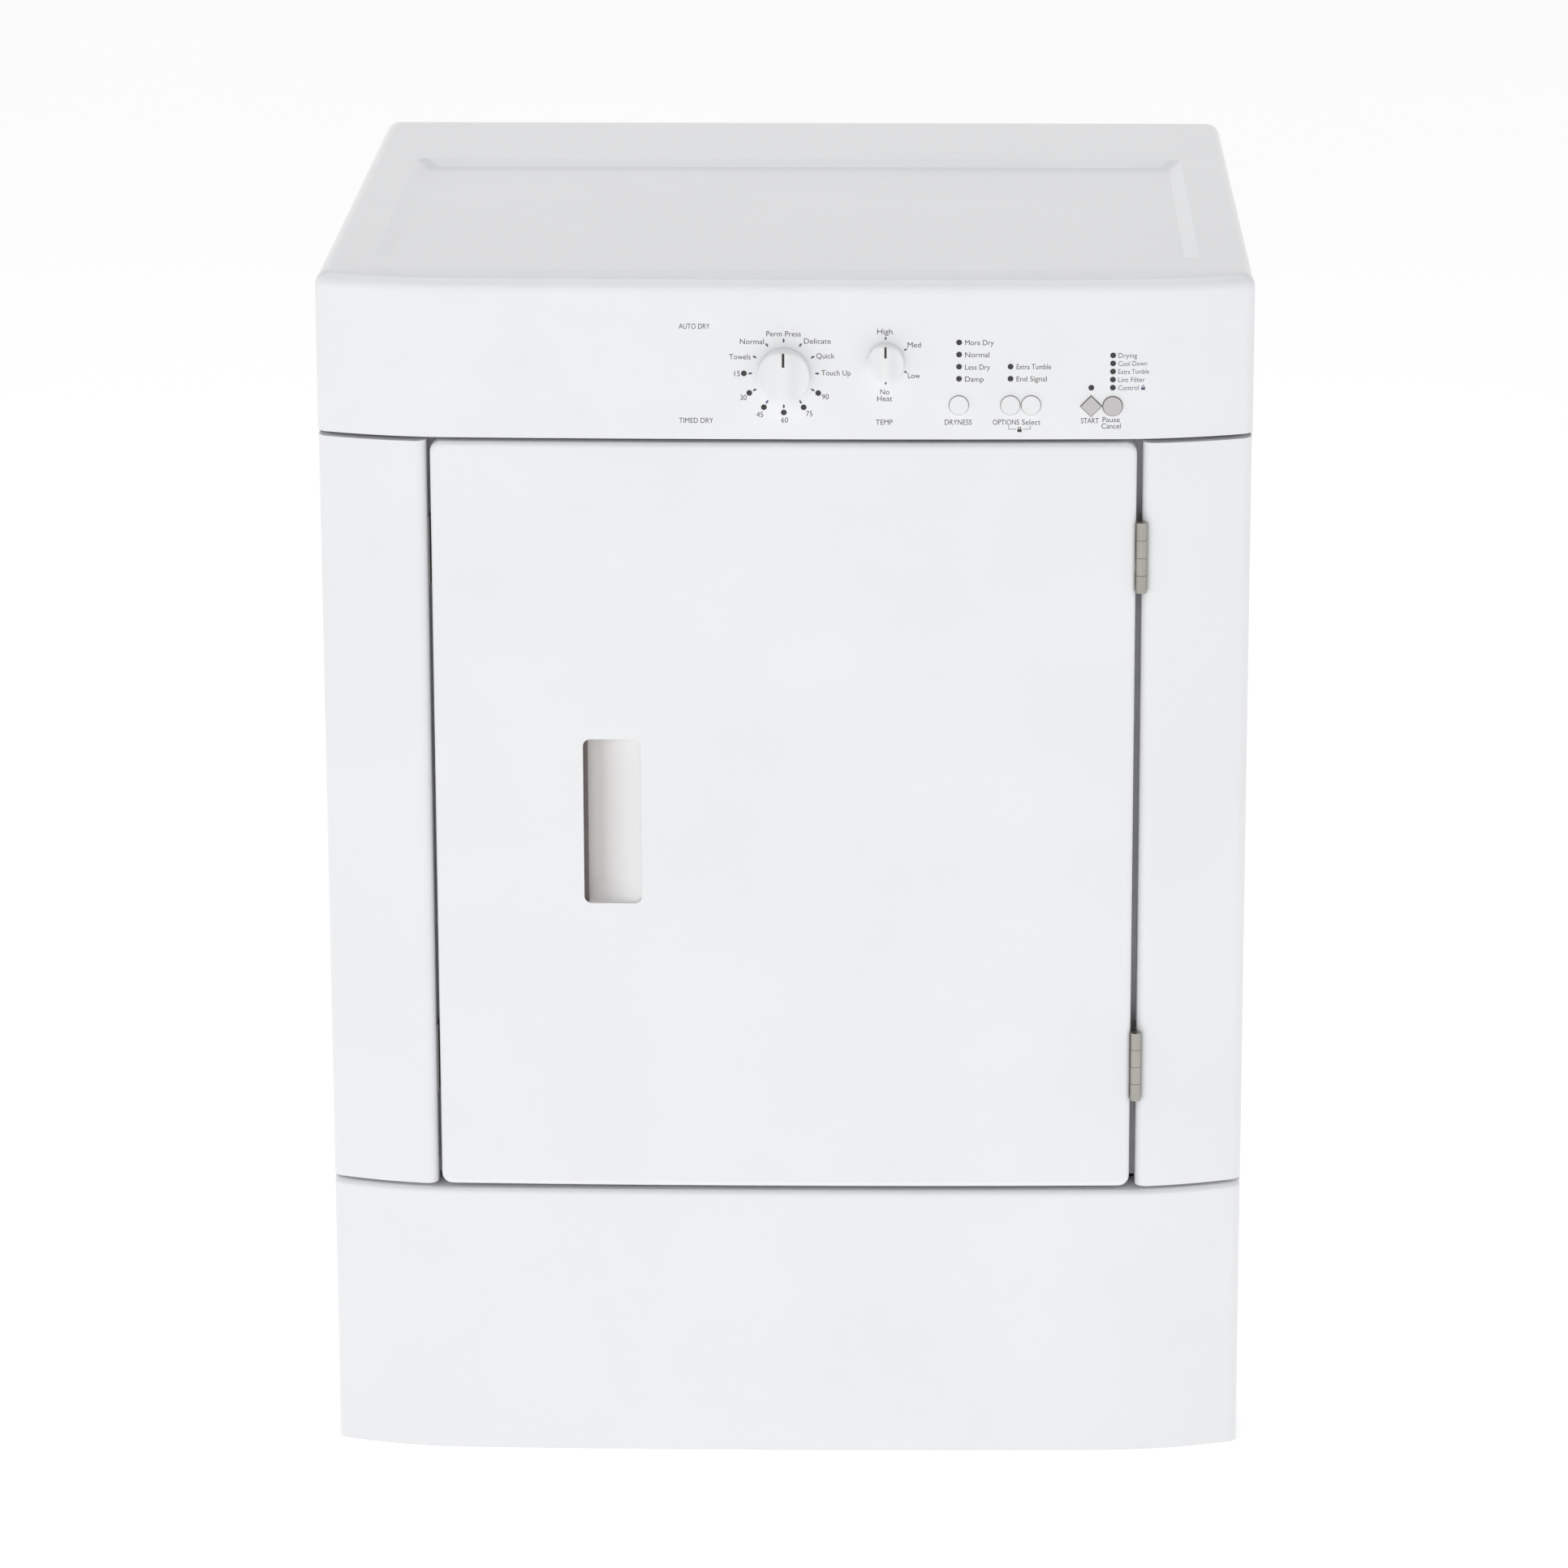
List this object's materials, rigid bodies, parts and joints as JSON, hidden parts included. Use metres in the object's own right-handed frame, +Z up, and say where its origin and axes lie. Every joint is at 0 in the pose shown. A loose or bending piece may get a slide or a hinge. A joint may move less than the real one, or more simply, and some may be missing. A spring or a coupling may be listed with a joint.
{
  "type": "clothes dryer",
  "caption": "Full-size front-control vented electric clothes dryer with a bowed front, side-swing door, recessed handle and rotary controls.",
  "frame": {"origin": "middle of the footprint on the floor", "axes": "+Z up, the door and console face -Y, +X to the right seen from the front"},
  "size_m": [0.687, 0.724, 0.914],
  "materials": {
    "white_enamel": "gloss",
    "console_white": "satin",
    "cup_white": "satin",
    "inner_enamel": "satin",
    "drum_enamel": "satin",
    "lifter_plastic": "satin",
    "knob_white": "satin",
    "button_grey": "satin",
    "lens_dark": "gloss",
    "galvanised": "satin",
    "hinge_nickel": "satin",
    "shaft_steel": "polished",
    "element_alloy": "matte",
    "plug_grey": "matte",
    "foot_grey": "matte",
    "board_green": "satin",
    "switch_black": "satin",
    "felt_grey": "matte",
    "gasket_white": "matte",
    "bearing_nylon": "matte",
    "duct_grey": "matte",
    "filter_plastic": "satin",
    "filter_mesh": "matte",
    "motor_black": "satin",
    "pulley_alloy": "satin",
    "belt_rubber": "matte"
  },
  "bodies": {
    "cabinet": {"side_panel_left": "white_enamel", "side_panel_right": "white_enamel", "top_panel": "white_enamel", "kick_panel": "white_enamel", "front_panel": "white_enamel", "console_fascia": "console_white", "indicator_lenses": "lens_dark", "rear_panel": "galvanised", "base_pan": "galvanised", "front_bulkhead": "galvanised", "heater_housing": "galvanised", "exhaust_pipe": "galvanised", "motor_cradle": "galvanised", "terminal_cover": "galvanised", "hinge_cabinet_leaves": "hinge_nickel", "hinge_pins": "hinge_nickel", "idler_spring": "shaft_steel", "cabinet_screws": "shaft_steel", "heating_element": "element_alloy", "hinge_hole_plugs": "plug_grey", "cord_inlet_bushing": "plug_grey", "door_switch": "plug_grey", "door_catch": "plug_grey", "control_board": "board_green", "rotary_switches": "switch_black", "drum_seals": "felt_grey", "drum_bearing": "bearing_nylon", "lint_duct": "duct_grey", "blower_housing": "duct_grey", "motor_housing": "motor_black", "drive_belt": "belt_rubber"},
    "door": {"door_outer_panel": "white_enamel", "door_inner_panel": "inner_enamel", "handle_cup": "cup_white", "door_gasket": "gasket_white", "door_strike": "shaft_steel", "door_screws": "shaft_steel", "hinge_door_leaves": "hinge_nickel"},
    "drum": {"drum_shell": "drum_enamel", "drum_lifters": "lifter_plastic", "drum_shaft": "shaft_steel"},
    "motor_rotor": {"motor_shaft": "shaft_steel", "motor_pulley": "pulley_alloy", "blower_wheel": "bearing_nylon"},
    "idler_lever": {"idler_arm": "galvanised"},
    "idler_wheel": {"idler_pulley": "bearing_nylon"},
    "cycle_dial": {"cycle_knob": "knob_white"},
    "temperature_dial": {"temperature_knob": "knob_white"},
    "dryness_key": {"dryness_button": "knob_white"},
    "options_key": {"options_button": "knob_white"},
    "select_key": {"select_button": "knob_white"},
    "start_key": {"start_button": "button_grey"},
    "pause_key": {"pause_button": "button_grey"},
    "lint_filter": {"lint_filter_frame": "filter_plastic", "lint_filter_screen": "filter_mesh"},
    "foot_front_left": {"leg_front_left": "foot_grey"},
    "foot_front_right": {"leg_front_right": "foot_grey"},
    "foot_rear_left": {"leg_rear_left": "foot_grey"},
    "foot_rear_right": {"leg_rear_right": "foot_grey"}
  },
  "joints": [
    {"name": "door_hinge", "type": "hinge", "parent": "cabinet", "child": "door", "pos_m": [0.262, -0.3395, 0.511], "axis": [0, 0, 1], "range_deg": [0, 170]},
    {"name": "drum_spin", "type": "hinge", "parent": "cabinet", "child": "drum", "pos_m": [0, 0.3, 0.545], "axis": [0, 1, 0], "continuous": true},
    {"name": "motor_spin", "type": "hinge", "parent": "cabinet", "child": "motor_rotor", "pos_m": [-0.12, -0.098, 0.115], "axis": [0, 1, 0], "continuous": true},
    {"name": "idler_swing", "type": "hinge", "parent": "cabinet", "child": "idler_lever", "pos_m": [-0.235, 0.011, 0.07], "axis": [0, 1, 0], "range_deg": [-20, 0], "stiffness_Nm_per_rad": 3, "springref_deg": 28.65},
    {"name": "idler_spin", "type": "hinge", "parent": "idler_lever", "child": "idler_wheel", "pos_m": [-0.18, 0.002, 0.19], "axis": [0, 1, 0], "continuous": true},
    {"name": "cycle_turn", "type": "hinge", "parent": "cabinet", "child": "cycle_dial", "pos_m": [0, -0.344, 0.845], "axis": [0, -1, 0], "continuous": true},
    {"name": "temperature_turn", "type": "hinge", "parent": "cabinet", "child": "temperature_dial", "pos_m": [0.0742, -0.344, 0.8546], "axis": [0, -1, 0], "range_deg": [-180, 0]},
    {"name": "lint_filter_slide", "type": "slide", "parent": "cabinet", "child": "lint_filter", "axis": [0, 0, 1], "range_m": [0, 0.18]},
    {"name": "dryness_press", "type": "slide", "parent": "cabinet", "child": "dryness_key", "axis": [0, 1, 0], "range_m": [0, 0.0015], "stiffness_N_per_m": 400},
    {"name": "options_press", "type": "slide", "parent": "cabinet", "child": "options_key", "axis": [0, 1, 0], "range_m": [0, 0.0015], "stiffness_N_per_m": 400},
    {"name": "select_press", "type": "slide", "parent": "cabinet", "child": "select_key", "axis": [0, 1, 0], "range_m": [0, 0.0015], "stiffness_N_per_m": 400},
    {"name": "start_press", "type": "slide", "parent": "cabinet", "child": "start_key", "axis": [0, 1, 0], "range_m": [0, 0.0015], "stiffness_N_per_m": 400},
    {"name": "pause_press", "type": "slide", "parent": "cabinet", "child": "pause_key", "axis": [0, 1, 0], "range_m": [0, 0.0015], "stiffness_N_per_m": 400},
    {"name": "foot_front_left_screw", "type": "slide", "parent": "cabinet", "child": "foot_front_left", "axis": [0, 0, -1], "range_m": [0, 0.015]},
    {"name": "foot_front_right_screw", "type": "slide", "parent": "cabinet", "child": "foot_front_right", "axis": [0, 0, -1], "range_m": [0, 0.015]},
    {"name": "foot_rear_left_screw", "type": "slide", "parent": "cabinet", "child": "foot_rear_left", "axis": [0, 0, -1], "range_m": [0, 0.015]},
    {"name": "foot_rear_right_screw", "type": "slide", "parent": "cabinet", "child": "foot_rear_right", "axis": [0, 0, -1], "range_m": [0, 0.015]}
  ],
  "couplings": [
    {"joint": "motor_spin", "follows": "drum_spin", "ratio": 27.783},
    {"joint": "idler_spin", "follows": "drum_spin", "ratio": -14.861}
  ]
}
